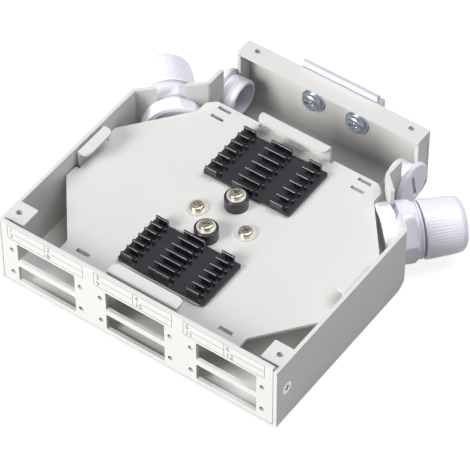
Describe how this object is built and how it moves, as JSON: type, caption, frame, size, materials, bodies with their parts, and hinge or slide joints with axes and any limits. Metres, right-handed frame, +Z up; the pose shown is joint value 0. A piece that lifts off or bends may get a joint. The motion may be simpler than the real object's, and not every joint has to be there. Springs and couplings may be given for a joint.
{
  "type": "din rail fibre box",
  "caption": "Shallow sheet-metal fibre tray with adapter windows in front, a splice plate with combs inside, cable glands and plugs behind, and a rail clip on its rear wall.",
  "frame": {"origin": "middle of the whole footprint, on the underside of the tray", "axes": "+Z up out of the open top, +Y from the front panel to the rail clip, +X to the right"},
  "size_m": [0.15, 0.1396, 0.0333],
  "materials": {
    "powder_coat": "fine satin powder coat",
    "plate_coat": "fine satin powder coat",
    "black_plastic": "moulded, semi-gloss",
    "white_nylon": "moulded, satin",
    "white_foam": "white foam tape",
    "black_rubber": "smooth",
    "seal_rubber": "smooth",
    "clip_plastic": "moulded, satin",
    "zinc_steel": "bright zinc plate",
    "nickel_steel": "nickel plate",
    "spring_steel": "drawn wire"
  },
  "bodies": {
    "housing": {"housing_tray": "powder_coat", "front_panel": "powder_coat", "splice_plate": "plate_coat", "plate_standoffs": "zinc_steel", "comb_pads": "white_foam", "splice_comb_front": "black_plastic", "splice_comb_rear": "black_plastic", "post_sleeves": "black_plastic", "post_washers": "nickel_steel", "post_screws": "nickel_steel", "plate_washers": "nickel_steel", "plate_screws": "nickel_steel", "side_screws": "nickel_steel", "rail_clip_body": "clip_plastic", "rail_clip_spring": "spring_steel", "rail_clip_screws": "zinc_steel", "gland_body_left": "white_nylon", "gland_locknut_left": "white_nylon", "gland_gasket_left": "black_rubber", "gland_seal_left": "seal_rubber", "blanking_plug_left": "white_nylon", "plug_seal_ring_left": "black_rubber", "gland_body_right": "white_nylon", "gland_locknut_right": "white_nylon", "gland_gasket_right": "black_rubber", "gland_seal_right": "seal_rubber", "blanking_plug_right": "white_nylon", "plug_seal_ring_right": "black_rubber"},
    "clip_latch": {"rail_clip_latch": "clip_plastic"},
    "dome_left": {"gland_dome_nut_left": "white_nylon"},
    "dome_right": {"gland_dome_nut_right": "white_nylon"}
  },
  "joints": [
    {"name": "latch_pull", "type": "slide", "parent": "housing", "child": "clip_latch", "axis": [-1, 0, 0], "range_m": [0, 0.004], "stiffness_N_per_m": 400, "springref_m": -0.002, "deforming": ["rail_clip_spring"]},
    {"name": "dome_turn_left", "type": "hinge", "parent": "housing", "child": "dome_left", "pos_m": [-0.05137, 0.02217, 0.0137], "axis": [-0.6819, 0.7314, 0], "range_deg": [-288, 2340]},
    {"name": "dome_turn_right", "type": "hinge", "parent": "housing", "child": "dome_right", "pos_m": [0.05137, 0.02217, 0.0137], "axis": [0.6819, 0.7314, 0], "range_deg": [-288, 2340]}
  ]
}
